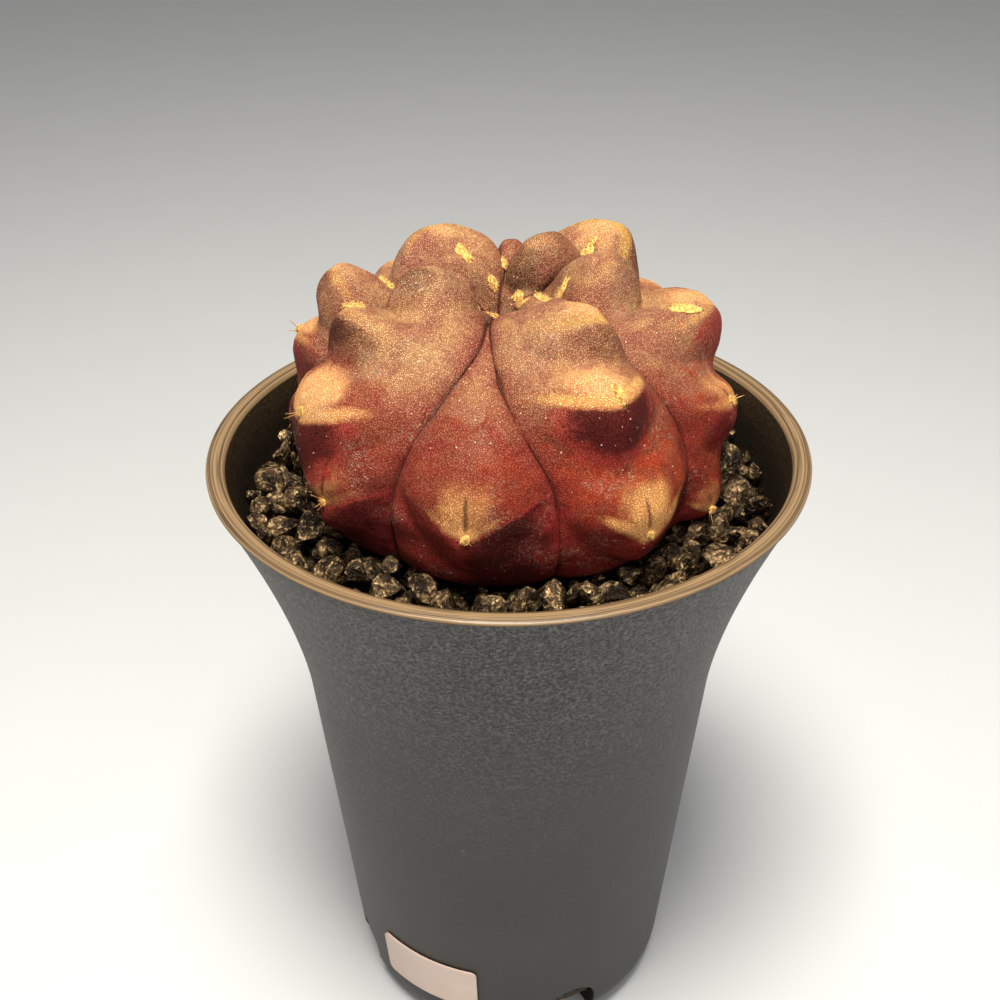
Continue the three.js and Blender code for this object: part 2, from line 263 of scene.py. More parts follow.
# paint on the skin, in millimetres or in shares of a tubercle's reach
paint = {
    # pale wedge above the point, and a painted highlight along the chin's ridge
    "wedgeWidth": 1.6, "wedgeSpread": 0.75, "wedgeStart": 0.35, "wedgeFade": 0.75, "wedgeOver": 0.2,
    "lowNarrowing": 0.2, "ridgeUp": 0.5, "ridgeWidth": 1.3, "ridgeReach": 0.75,
    # maroon and painted shade under the chin; on the low ones it is lighter on the left, where the light
    # falls
    "underStart": 0.3, "underFade": 0.8, "underOver": 0.1, "underReach": 0.55, "underLowReach": 0.7,
    "underLitLeft": 0.28, "underTurn": 1.5,
    "seamWidth": 0.48, "seamEnd": 1.5, "seamReach": 0.55, "seamFade": 3.0,
    "creaseWidth": 0.28, "creasePower": 1.5, "valleyWidth": 2.4, "valleyPower": 1.3,
    "lowAngles": (28, 80), "baseAngles": (86, 102),  # in degrees down from the crown
    "crownRadii": (5, 14), "hollowRadii": (4, 9), "knobFull": 0.7,
}


def creaseAzimuth(crease, angle):  # Catmull-Rom curve through the values at the crease angles
    knots = np.array(cactus["creaseAngles"], float)
    values = np.array(cactus["creases"][crease % cactus["ribCount"]], float)
    x = np.clip(angle, knots[0], knots[-1])
    i = np.clip(np.searchsorted(knots, x, side="right") - 1, 0, len(knots) - 2)
    before, here = values[np.maximum(i - 1, 0)], values[i]
    ahead, after = values[i + 1], values[np.minimum(i + 2, len(knots) - 1)]
    k = (x - knots[i]) / (knots[i + 1] - knots[i])
    bend = 2 * before - 5 * here + 4 * ahead - after
    twist = 3 * here - before - 3 * ahead + after
    return 0.5 * (2 * here + (ahead - before) * k + bend * k ** 2 + twist * k ** 3)


def meridian(angle):
    s = cactus
    up = np.cos(angle * degree)
    radius = s["globeRadius"] * np.clip(np.sin(angle * degree), 0, 1) ** s["sidePower"]
    rise = s["globeUp"] * np.clip(up, 0, 1) ** s["upPower"]
    fall = s["globeDown"] * np.clip(-up, 0, 1) ** s["downPower"]
    sink = np.where(up > 0, s["crownSink"] * np.exp(-(radius / s["crownRadius"]) ** 2), 0)
    return radius, s["globeHeight"] + rise - fall - sink


def tubercleForm(down, aside, tubercle):  # how far it stands out, its fold, and the way down from its chin
    s = cactus
    middle, reachUp, reachDown, reachAside = tubercle[0], *tubercle[3:6]
    full = ease((middle - s["chinFrom"]) / s["chinOver"])
    hang = s["chinSlope"] * (s["chinLeast"] + (1 - s["chinLeast"]) * full)
    along = down + hang * (np.hypot(aside, s["chinRound"]) - s["chinRound"])
    reach = np.where(along < 0, reachUp, reachDown)
    slopes = (np.abs(along) / reach) ** s["peakPower"] + (np.abs(aside) / reachAside) ** s["peakPower"]
    peak = 1 - (slopes + s["peakBlunt"]) ** (1 / s["peakPower"])
    peak = s["peakFlat"] * 0.5 * (peak + np.hypot(peak, s["peakFillet"]))
    peak = 0.5 * (peak + 1 - np.hypot(peak - 1, s["peakTop"]))
    fold = np.exp(-((along - reachDown) / s["foldWidth"]) ** 2 - (aside / reachAside / s["foldReach"]) ** 2)
    return peak, fold * (middle < s["seamFrom"]), along


def tuberclePaint(down, aside, along, tubercle):
    p = paint
    middle, reachUp, reachDown, reachAside = tubercle[0], *tubercle[3:6]
    pale, dark = tubercle[-2:]
    isLow = middle > cactus["lowFrom"]
    narrowing = p["lowNarrowing"] * isLow
    halfWidth = p["wedgeWidth"] + (p["wedgeSpread"] - narrowing) * np.maximum(-down, 0)
    wedge = np.exp(-(np.abs(aside) / halfWidth) ** 3)
    wedge *= 1 - ease((-down - (p["wedgeStart"] - narrowing) * reachUp) / (p["wedgeFade"] * reachUp))
    wedge *= 1 - ease(along + p["wedgeOver"])
    ridge = np.exp(-((along + p["ridgeUp"]) / p["ridgeWidth"]) ** 2
                   - (aside / reachAside / (p["ridgeReach"] - narrowing)) ** 4)
    under = ease(along + p["underOver"])
    if not isLow:  # the low ones stay dark down to the stones
        under *= 1 - ease((along - p["underStart"] * reachDown) / (p["underFade"] * reachDown))
    under *= np.exp(-np.abs(aside / reachAside / (p["underReach"] + p["underLowReach"] * isLow)) ** 3)
    # painted light: the low ones' chin shade is lighter on their left, the lit side
    under *= 1 - p["underLitLeft"] * isLow * (1 - np.tanh(aside / p["underTurn"]))
    line = np.exp(-(aside / p["seamWidth"]) ** 2) * ease(-down / p["seamEnd"])
    line *= ease((down + p["seamReach"] * reachUp) / p["seamFade"]) * (middle > cactus["seamFrom"])
    return {"lit": pale * wedge, "crestHighlight": pale * ridge, "shade": dark * under, "seam": line}


def skinPoints(rib, across, angle):
    s = cactus
    radius, height = meridian(angle)
    radiusAfter, heightAfter = meridian(np.minimum(angle + s["slopeStep"], 180))
    radiusBefore, heightBefore = meridian(np.maximum(angle - s["slopeStep"], 0))
    slope = np.stack([radiusAfter - radiusBefore, heightAfter - heightBefore])
    slope /= np.hypot(*slope)
    azimuth = np.zeros_like(angle)
    relief = np.zeros_like(angle)
    marks = {name: np.zeros_like(angle) for name in ("crease", "valleyShade", "lit", "shade", "crestHighlight", "seam")}
    for number in range(s["ribCount"]):
        own = rib == number
        left = creaseAzimuth(number, angle[own])
        right = creaseAzimuth(number + 1, angle[own])
        right = np.where(right < left, right + 360, right)
        t, r = across[own], radius[own]
        azimuth[own] = left + (right - left) * (t + 1) / 2
        width = (right - left) * degree * r
        crown = np.clip(np.cos(angle[own] * degree), 0, 1)
        rise = s["ribRise"] * ease(width / s["fullRibWidth"]) * (s["ribAtBase"] + s["ribAtCrown"] * crown)
        pillow = np.sqrt(np.clip(1 - np.abs(t) ** s["pillowPower"], 0, 1))
        edge = np.sqrt(np.clip(1 - t ** s["edgePower"], 0, 1))
        total = np.zeros_like(t)
        fold = np.zeros_like(t)
        for tubercle in s["tubercles"][number]:
            middle, turn, tall = tubercle[:3]
            down = (angle[own] - middle) * degree * s["arcRadius"]
            aside = ((azimuth[own] - turn + 180) % 360 - 180) * degree * np.maximum(r, s["narrowest"])
            peak, ownFold, along = tubercleForm(down, aside, tubercle)
            total += (tall * np.maximum(peak, 0)) ** s["peakBlend"]
            fold = np.maximum(fold, ownFold)
            for name, values in tuberclePaint(down, aside, along, tubercle).items():
                marks[name][own] = np.maximum(marks[name][own], values)
        rise = rise * (s["pillowShare"] * pillow + s["roofShare"] * (1 - np.abs(t)))
        relief[own] = rise + total ** (1 / s["peakBlend"]) * edge
        relief[own] -= s["foldDepth"] * fold * edge
        fromCrease = (1 - np.abs(t)) * width / 2
        marks["crease"][own] = np.exp(-(fromCrease / paint["creaseWidth"]) ** paint["creasePower"])
        marks["valleyShade"][own] = np.exp(-(fromCrease / paint["valleyWidth"]) ** paint["valleyPower"])
    base = 1 - between(angle, s["baseFade"])
    lift = relief * base * between(radius, s["reliefRadii"]) - s["seamDepth"] * marks["seam"]
    reach = np.maximum(radius - lift * slope[1], 0) * (angle > 0) * (angle < 180)
    x = reach * np.cos(azimuth * degree)
    y = reach * np.sin(azimuth * degree)
    z = height + lift * slope[0]
    knob = np.zeros_like(angle)
    for youngX, youngY, tall, size in s["young"]:
        near = np.exp(-(np.hypot(x - youngX, y - youngY) / size) ** 3)
        knob = np.maximum(knob, near)
        z += np.where(angle < s["youngTo"], tall * near, 0)
    shift = 1 - ease(angle / s["crownShiftFade"])
    points = np.stack([x + s["crownShift"][0] * shift, y + s["crownShift"][1] * shift, z], axis=1)
    marks["low"] = between(angle, paint["lowAngles"])
    marks["base"] = between(angle, paint["baseAngles"])
    marks["crown"] = 1 - between(reach, paint["crownRadii"])
    # painted shade in the crown hollow, away from the young knobs
    marks["hollowShade"] = (1 - between(reach, paint["hollowRadii"])) * (1 - ease(knob / paint["knobFull"]))
    return points * mm, marks


def makeCactusBody(finish):
    perRib = cactus["columnsPerRib"]
    columns = cactus["ribCount"] * perRib
    bm = bmesh.new()
    bmesh.ops.create_uvsphere(bm, u_segments=columns, v_segments=cactus["rows"], radius=1)
    mesh = meshFrom(bm, "cactus")
    ball = getPoints(mesh)
    turn = np.arctan2(ball[:, 1], ball[:, 0]) % (2 * math.pi)
    column = np.round(turn / (2 * math.pi) * columns).astype(int) % columns
    down = np.degrees(np.arccos(np.clip(ball[:, 2], -1, 1)))
    linear = 2 * (column % perRib) / perRib - 1
    across = np.sign(linear) * (1 - (1 - np.abs(linear)) ** cactus["columnCrowding"])
    angle = 180 * (down / 180) ** cactus["rowCrowding"]
    points, marks = skinPoints(column // perRib, across, angle)
    setPoints(mesh, points)
    shift = np.array([sum(depth * noise.noise(Vector(point) / (size * mm)) for size, depth in cactus["lumps"])
                      for point in points])
    fade = 1 - ease((angle - cactus["baseFade"][0]) / cactus["lumpFade"])
    points = points + vertexNormals(mesh) * (shift * fade)[:, None] * mm
    middle = cactus["globeHeight"] * mm
    over = np.maximum(points[:, 2] - middle, 0)
    points[:, 2] -= over * (1 - min(1, (plantTop - cactus["topGap"] * mm - middle) / over.max()))
    setPoints(mesh, points)
    for name, values in marks.items():
        storeValues(mesh, name, values)
    return addObject("cactus_body", mesh, finish)


skinColours = {
    "mauve": (0.24, 0.1, 0.062), "tan": (0.41, 0.245, 0.115), "moss": (0.4, 0.3, 0.11),
    "rust": (0.185, 0.036, 0.018), "red": (0.17, 0.011, 0.005), "orange": (0.32, 0.056, 0.018),
    "purple": (0.16, 0.018, 0.016), "base": (0.12, 0.008, 0.01),
    "peach": (0.68, 0.4, 0.165), "wedge": (0.62, 0.36, 0.13), "olive": (0.55, 0.36, 0.08),
    "bark": (0.16, 0.07, 0.036), "wine": (0.26, 0.024, 0.022), "maroon": (0.04, 0.003, 0.004),
    "pitShade": (0.1, 0.04, 0.02), "line": (0.035, 0.007, 0.005),
    "cream": (0.75, 0.48, 0.3), "dust": (0.85, 0.68, 0.48),
    "brighten": (1.2, 1.2, 1.2), "dim": (0.69, 0.5, 0.47),
}


def skinFinish():
    f = Finish("cactusSkin")
    colours = skinColours
    lit, shade, crestHighlight = f.attribute("lit"), f.attribute("shade"), f.attribute("crestHighlight")
    low, valleyShade, crown = f.attribute("low"), f.attribute("valleyShade"), f.attribute("crown")
    broad = f.noise(14, 2)
    patch = f.noise(5, 3, 0.6, 0.6)
    blot = f.noise(3.4, 2, 0.6, 1.0)
    colour = f.mix(((broad + patch - 1.0) * 2.2 + 0.5).between(0.0, 1.0), colours["mauve"], colours["tan"])
    colour = f.mix((1 - low) * patch.between(0.42, 0.62) * 0.28, colour, colours["moss"])
    redness = (low * 1.15 + (broad - 0.5) * 1.8 + (patch - 0.5) * 1.2).between(0.3, 0.8)
    side = (f.along("X") + broad * 0.03).between(-0.012, 0.034)  # wine red left, orange red right
    colour = f.mix(redness * 0.94, colour, colours["rust"])
    deep = (low * 1.2 + (patch - 0.5) * 2.4 + (blot - 0.5) * 1.2).between(0.75, 1.3)
    colour = f.mix(deep * 0.85, colour, f.mix(side, colours["purple"], colours["red"]))
    colour = f.mix((blot + low * 0.25).between(0.6, 0.85) * (side * 0.4 + 0.1), colour, colours["orange"])
    # painted shade in the valleys beside the creases
    colour = f.mix(valleyShade * 0.75, colour, colours["purple"])
    # dark red at the foot of the body, partly the skin's own colour and partly painted shade where it meets
    # the stones
    colour = f.mix(f.attribute("base") * 0.85, colour, colours["base"])
    glow = (lit * 1.3 + (patch - 0.5) * 0.9).between(0.25, 0.95)
    colour = f.mix(glow * 0.9, colour, f.mix(low.between(0.6, 1.0), colours["peach"], colours["wedge"]))
    dusk = shade * 1.35 + (blot - 0.5) * 0.8  # under the chins
    under = f.mix(low.between(0.2, 0.6), colours["bark"], colours["wine"])
    colour = f.mix(dusk.between(0.12, 0.5) * 0.85, colour, under)
    dark = dusk.between(0.45, 1.05) * 0.85
    colour = f.mix(dark, colour, colours["maroon"])
    # painted highlight along the tubercles' ridges: olive up top, pale lower down
    rim = f.mix(low.between(0.2, 0.6), colours["olive"], colours["wedge"])
    colour = f.mix((crestHighlight * 1.2 + (blot - 0.5) * 0.6).between(0.3, 0.95) * 0.85, colour, rim)
    # painted shade in the hollow round the growing point
    colour = f.mix(crown * blot.between(0.3, 0.6) * 0.75, colour, colours["pitShade"])
    # painted shade between the young knobs in the crown hollow
    colour = f.mix(f.attribute("hollowShade").between(0.1, 0.8) * 0.9, colour, colours["line"])
    # the grains' places are bent a little, so their cells don't look ruled
    drift = f.node("ShaderNodeTexNoise", {}, {"Vector": f.place(), "Scale": 2200.0, "Detail": 1.0}, "Color")
    bent = f.node("ShaderNodeVectorMath", {"operation": "MULTIPLY_ADD"},
                  {0: drift, 1: (0.0004, 0.0004, 0.0004), 2: f.place()})
    grains = f.cells(0.27, "DISTANCE_TO_EDGE", where=bent).between(0.02, 0.24)
    fine = f.noise(0.7, 2, 0.7)
    grains = (grains * 0.9 + (fine - 0.5) * 0.6).between(0.1, 0.9)
    # the pale grains are the skin's pale papillae, brightened partly as painted sparkle highlights
    pale = f.mix(1.0, colour, colours["brighten"], "MULTIPLY")
    pale = f.mix((0.19 - low * 0.13 - side * 0.04) * (1 - dark * 0.8), pale, colours["cream"])
    dim = f.mix(1.0, colour, colours["dim"], "MULTIPLY")
    colour = f.mix(grains, dim, pale)
    colour = f.mix(f.attribute("crease").between(0.4, 1.0) * 0.8, colour, colours["line"])
    colour = f.mix(f.attribute("seam").between(0.45, 0.95) * 0.7, colour, colours["line"])
    speck = (1 - f.cells(1.3).between(0.05, 0.11)) * f.noise(7, 1).between(0.4, 0.6)
    scars = f.noise(2.6, 3, 0.7, 2.5)
    scar = (1 - (scars - 0.5).top(0.5 - scars).between(0.0, 0.014)) * f.noise(9, 1).between(0.54, 0.62)
    colour = f.mix((speck + scar * (0.7 - dark * 0.45)) * 0.8, colour, colours["dust"])
    height = grains + f.noise(1.6, 2) * 1.6 + scar * 0.5
    f.set(colour=colour, roughness=0.44 + fine * 0.25, normal=f.bump(height, 0.12),
          specular=0.08, flesh=0.06, fleshScale=0.0015, fleshRadius=(1.0, 0.3, 0.15))
    return f


# Felt and spines

felt = {
    # pads on young and old areoles: length towards the growing point, width and thickness
    "young": (1.9, 0.85, 0.35), "old": (0.62, 0.55, 0.4), "youngTo": 60, "crownSize": 0.6,
    "sizes": (0.75, 1.25),  # shares between which their sizes are drawn, as the fibres' lengths are
    "rough": 0.3, "ripple": 1.8, "rippleShift": 700, "ragged": (-0.05, 0.07),
    "farthest": 0.7, "castFrom": 200.0,
    "fibres": 120, "fibreLength": 0.6, "fibreLengths": (0.5, 1.1), "fibreWidth": 0.055,
    "fibreReach": (0.2, 0.95), "fibreLift": 0.2, "fibreStray": 1.3, "seed": 5,
    "dark": (0.5, 0.26, 0.05), "light": (0.88, 0.56, 0.15),
}
spines = {"from": 62, "to": 101, "ribs": (2, 3, 4, 5, 6, 7), "count": 3, "length": 2.4,
          "lengths": (0.6, 1.2), "width": 0.13, "tip": 0.15, "sides": 5, "sink": 0.3, "lean": 0.75,
          "seed": 12, "dark": (0.3, 0.1, 0.03), "light": (0.62, 0.38, 0.14)}


def areolePlaces(surface):
    places = []
    for number, rib in enumerate(cactus["tubercles"]):
        for tubercle in rib:
            angle, turn = np.array([tubercle[6]], float), tubercle[7]
            left = creaseAzimuth(number, angle)
            right = creaseAzimuth(number + 1, angle)
            right = np.where(right < left, right + 360, right)
            across = 2 * ((turn - left) % 360) / (right - left) - 1
            across = np.clip(across, -felt["farthest"], felt["farthest"])
            points = skinPoints(np.array([number]), across, angle)[0]
            spot, normal = surface.find_nearest(Vector(points[0]))[:2]
            places.append({"spot": spot, "out": normal, "angle": tubercle[0], "rib": number})
    for young in cactus["young"]:
        x, y = (young[i] + cactus["crownShift"][i] for i in range(2))
        above = Vector((x * mm, y * mm, felt["castFrom"] * mm))
        spot, normal = surface.ray_cast(above, Vector((0, 0, -1)))[:2]
        places.append({"spot": spot, "out": normal, "angle": 0, "rib": 0})
    return places


def turnTo(out):  # a turn that puts Z along the way out of the skin
    return out.to_track_quat("Z", "Y").to_matrix().to_4x4()


def addThorn(bm, spot, aim, length, width):
    at = Matrix.Translation(spot + aim * length * 0.5 * mm) @ turnTo(aim)
    bmesh.ops.create_cone(bm, cap_ends=True, segments=spines["sides"], radius1=width * mm,
                          radius2=spines["tip"] * width * mm, depth=length * mm, matrix=at)


def randomVector(draw):
    return Vector([draw.uniform(-1, 1) for _ in range(3)])


def makeFelt(places, surface, finish):
    draw = random.Random(felt["seed"])
    bm = bmesh.new()
    for areole in places:
        long, wide, thick = felt["young"] if areole["angle"] < felt["youngTo"] else felt["old"]
        size = draw.uniform(*felt["sizes"]) * (1 if areole["angle"] else felt["crownSize"])
        spot, out = areole["spot"], areole["out"]
        middle = Vector((-spot.x, -spot.y, 0))
        inward = (middle - out * middle.dot(out)).normalized()  # pads point at the growing point
        sideways = out.cross(inward)
        pad = bmesh.new()  # each pad in a small mesh of its own, because operators slow down in a big one
        made = bmesh.ops.create_icosphere(pad, subdivisions=3, radius=1)
        shift = spot * felt["rippleShift"]
        for vert in made["verts"]:
            ripple = 1 + 2 * felt["rough"] * noise.noise(vert.co * felt["ripple"] + shift)
            spread = (inward * vert.co.x * long + sideways * vert.co.y * wide) * size * ripple
            hit, normal = surface.find_nearest(spot + spread * mm)[:2]
            vert.co = hit + normal * (vert.co.z * thick * ripple + draw.uniform(*felt["ragged"])) * mm
        for _ in range(felt["fibres"]):
            turn, reach = draw.uniform(0, 2 * math.pi), draw.uniform(*felt["fibreReach"])
            spread = (inward * math.cos(turn) * long + sideways * math.sin(turn) * wide) * size * reach
            hit, normal = surface.find_nearest(spot + spread * mm)[:2]
            aim = (normal + felt["fibreStray"] * randomVector(draw)).normalized()
            length = felt["fibreLength"] * draw.uniform(*felt["fibreLengths"])
            addThorn(pad, hit + normal * felt["fibreLift"] * mm, aim, length, felt["fibreWidth"])
        padMesh = meshFrom(pad, "pad")
        bm.from_mesh(padMesh)
        bpy.data.meshes.remove(padMesh)
    for vert in bm.verts:
        vert.co.z = min(vert.co.z, plantTop)
    return addObject("areole_felt", meshFrom(bm, "areole_felt"), finish)


def makeSpines(places, finish):
    draw = random.Random(spines["seed"])
    bm = bmesh.new()
    for areole in places:
        if areole["rib"] not in spines["ribs"] or not spines["from"] <= areole["angle"] <= spines["to"]:
            continue
        for _ in range(spines["count"]):
            aim = (areole["out"] + spines["lean"] * randomVector(draw)).normalized()
            root = areole["spot"] - areole["out"] * spines["sink"] * mm
            addThorn(bm, root, aim, spines["length"] * draw.uniform(*spines["lengths"]), spines["width"])
    return addObject("spines", meshFrom(bm, "spines"), finish)


def feltFinish():
    f = Finish("areoleFelt")
    tone = f.noise(0.4, 3, 0.75)
    colour = f.mix(tone.between(0.3, 0.7), felt["dark"], felt["light"])
    f.set(colour=colour, roughness=0.75 + tone * 0.2, normal=f.bump(tone, 0.3), sheen=0.2)
    return f


def spineFinish():
    f = Finish("spineStraw")
    tone = f.noise(0.8, 2)
    colour = f.mix(tone.between(0.3, 0.7), spines["dark"], spines["light"])
    f.set(colour=colour, roughness=0.35 + tone * 0.2, normal=f.bump(f.noise(0.2, 1), 0.02))
    return f


# Pot

pot = {
    "height": potTop, "rimRadius": 45.0, "footRadius": 27.6, "taper": 0.084, "flareStart": 66.0,
    "flareReach": 8.5, "flarePower": 1.7, "wall": 1.5, "footRound": 6.0, "footRing": 3.0,
    "floorRise": 3.0, "floorThickness": 1.6, "rimInner": 42.2, "drainRadius": 4.0, "turns": 192,
    "neckDrop": 3.4, "liningDrop": 3.0, "floorInset": 1.0, "sharpAngle": 40.0,
    "footSteps": 9, "wallSteps": 7, "flareSteps": 14, "liningSteps": 12, "archSteps": 13,
    "slotCount": 4, "slotWidth": 9.0, "slotHeight": 11.0, "slotAzimuth": -68.0,
    "slotBelow": 1.0, "slotStart": 7.0, "slotDepth": 12.0,  # below the foot, and inwards of its radius
    # rim from the outside over the top: step in from the rim radius, step down from the top
    "bead": ((0.95, 2.0), (0.7, 1.2), (0.5, 0.8), (0.12, 0.74), (0.02, 0.7), (0.0, 0.5), (0.08, 0.3),
             (0.25, 0.16), (0.6, 0.06), (0.8, 0.1), (1.0, 0.02), (1.4, 0.0), (1.55, 0.06), (1.75, 0.02),
             (2.1, 0.08), (2.4, 0.25), (2.6, 0.5), (2.75, 0.9)),
}


def wallRadius(height):
    flare = max(0, (height - pot["flareStart"]) / (pot["height"] - pot["flareStart"]))
    return pot["footRadius"] + pot["taper"] * height + pot["flareReach"] * flare ** pot["flarePower"]


def innerRadius(height):
    return min(wallRadius(height) - pot["wall"], pot["rimInner"])


def potOutline():
    ringOuter = wallRadius(pot["footRound"]) - pot["footRound"]
    ringInner = ringOuter - pot["footRing"]
    floorTop = pot["floorRise"] + pot["floorThickness"]
    outline = [(pot["drainRadius"], pot["floorRise"]), (ringInner - pot["floorRise"], pot["floorRise"]),
               (ringInner, 0)]
    for turn in np.linspace(0, math.pi / 2, pot["footSteps"]):
        outline.append((ringOuter + pot["footRound"] * math.sin(turn),
                        pot["footRound"] - pot["footRound"] * math.cos(turn)))
    flareStart = pot["flareStart"]
    neck, lining = pot["height"] - pot["neckDrop"], pot["height"] - pot["liningDrop"]
    outline += [(wallRadius(z), z) for z in np.linspace(pot["footRound"], flareStart, pot["wallSteps"])[1:]]
    outline += [(wallRadius(z), z) for z in np.linspace(flareStart, neck, pot["flareSteps"])[1:]]
    outline += [(pot["rimRadius"] - inward, pot["height"] - down) for inward, down in pot["bead"]]
    outline += [(innerRadius(z), z) for z in np.linspace(lining, flareStart, pot["liningSteps"])]
    corner = innerRadius(pot["footRound"])
    outline += [(corner, pot["footRound"]), (corner - pot["floorInset"], floorTop),
                (pot["drainRadius"], floorTop)]
    return outline


def makeSlotCutter(azimuth):
    half = pot["slotWidth"] / 2
    arch = [(-half, -pot["slotBelow"]), (half, -pot["slotBelow"])]
    for turn in np.linspace(0, math.pi, pot["archSteps"]):
        arch.append((half * math.cos(turn), pot["slotHeight"] - half + half * math.sin(turn)))
    bm = bmesh.new()
    start = pot["footRadius"] - pot["slotStart"]
    near = [bm.verts.new((start * mm, y * mm, z * mm)) for y, z in arch]
    face = bm.faces.new(near)
    pushed = bmesh.ops.extrude_face_region(bm, geom=[face])
    moved = [item for item in pushed["geom"] if isinstance(item, bmesh.types.BMVert)]
    bmesh.ops.translate(bm, verts=moved, vec=(pot["slotDepth"] * mm, 0, 0))
    bmesh.ops.rotate(bm, verts=bm.verts, cent=(0, 0, 0), matrix=Matrix.Rotation(azimuth * degree, 3, "Z"))
    bmesh.ops.recalc_face_normals(bm, faces=bm.faces)
    return addObject("slot_cutter", meshFrom(bm, "slot_cutter", False))


def makePot(finish):
    bm = bmesh.new()
    ring = [bm.verts.new((r * mm, 0, z * mm)) for r, z in potOutline()]
    edges = [bm.edges.new((ring[i], ring[(i + 1) % len(ring)])) for i in range(len(ring))]
    bmesh.ops.spin(bm, geom=ring + edges, cent=(0, 0, 0), axis=(0, 0, 1), angle=2 * math.pi,
                   steps=pot["turns"], use_merge=True)
    bmesh.ops.remove_doubles(bm, verts=bm.verts, dist=1e-6)
    bmesh.ops.recalc_face_normals(bm, faces=bm.faces)
    piece = addObject("pot_shell", meshFrom(bm, "pot_shell"), finish)
    turns = [pot["slotAzimuth"] + 360 / pot["slotCount"] * i for i in range(pot["slotCount"])]
    cutters = [makeSlotCutter(turn) for turn in turns]
    for cutter in cutters:
        cut = piece.modifiers.new("slot", "BOOLEAN")
        cut.object = cutter
        cut.solver = "EXACT"
    shaped = bpy.data.meshes.new_from_object(piece.evaluated_get(bpy.context.evaluated_depsgraph_get()))
    piece.modifiers.clear()
    piece.data = shaped
    for cutter in cutters:
        bpy.data.objects.remove(cutter)
    shaped.set_sharp_from_angle(angle=pot["sharpAngle"] * degree)
    return piece


potColours = {
    "low": (0.006, 0.004, 0.003), "high": (0.1, 0.098, 0.094), "cloud": (0.045, 0.04, 0.037),
    "grain": (0.008, 0.008, 0.008), "warmSheenDark": (0.045, 0.026, 0.012), "warmSheen": (0.23, 0.152, 0.078),
    "edge": (0.03, 0.014, 0.008), "liningLow": (0.012, 0.008, 0.005), "lining": (0.05, 0.032, 0.016),
    "dust": (0.5, 0.47, 0.42),
}


def potFinish():
    f = Finish("potPlastic")
    colours = potColours
    height = f.along("Z") / mm
    radius = (f.along("X") ** 2 + f.along("Y") ** 2) ** 0.5 / mm
    top = pot["height"]
    rim = height.between(top - 0.95, top - 0.8)
    flare = ((height - pot["flareStart"]) / (top - pot["flareStart"])).top(0.0)
    wall = pot["footRadius"] + pot["taper"] * height + pot["flareReach"] * flare ** pot["flarePower"]
    inside = (wall - radius).between(0.4, 0.7) * (1 - rim)
    speckle = f.noise(0.55, 4, 0.8)
    cloud = f.noise(16, 2)
    # painted shade: the outer wall darkens towards the foot
    outer = f.mix(height.between(30, 100), colours["low"], colours["high"])
    outer = f.mix(cloud * 0.3, outer, colours["cloud"])
    pores = (1 - speckle.between(0.42, 0.52)) * height.between(40, 95)  # the foot is smoother
    outer = f.mix(pores * 0.9, outer, colours["grain"])
    rounds = f.node("ShaderNodeCombineXYZ", {}, {0: radius * mm, 1: height * mm, 2: cloud * 0.0004})
    streaks = f.noise(0.3, 3, 0.7, where=rounds)  # they run round the rim
    # the rim is the same plastic as the wall: its warm brown is a painted sheen of the light falling on top,
    # and its streaks are the moulding lines round the rim
    warmSheen = f.mix(streaks.between(0.38, 0.62), colours["warmSheenDark"], colours["warmSheen"])
    # painted shadow along the outer edge just below the lip
    edge = (radius - pot["rimRadius"] + 0.35).between(0, 0.2) * (1 - height.between(top - 0.65, top - 0.4))
    warmSheen = f.mix(edge * 0.85, warmSheen, colours["edge"])
    colour = f.mix(rim, outer, warmSheen)
    # the lining: a painted warm sheen near the lip, darkening into painted shade deeper in the pot
    lining = f.mix(height.between(top - 7, top - 0.5), colours["liningLow"], colours["lining"])
    colour = f.mix(inside, colour, lining)
    speck = (1 - f.cells(7).between(0.012, 0.022)) * (1 - rim)
    colour = f.mix(speck * 0.5, colour, colours["dust"])
    relief = speckle.between(0.3, 0.6) * height.between(20, 95) * (1 - rim) + streaks * rim * 0.5
    f.set(colour=colour, roughness=0.42 - rim * 0.1 + inside * 0.1 + speckle * 0.1, metallic=inside * 0.9,
          normal=f.bump(relief, 0.22), specular=0.5)
    return f


# Label

label = {"width": 18.0, "height": 10.0, "thickness": 0.4, "bottom": 8.5, "azimuth": -120.0, "gap": 0.15,
         "corner": 0.12, "cornerStretch": 1.6, "columns": 36, "rows": 18,
         "dark": (0.54, 0.41, 0.345), "light": (0.61, 0.5, 0.44)}


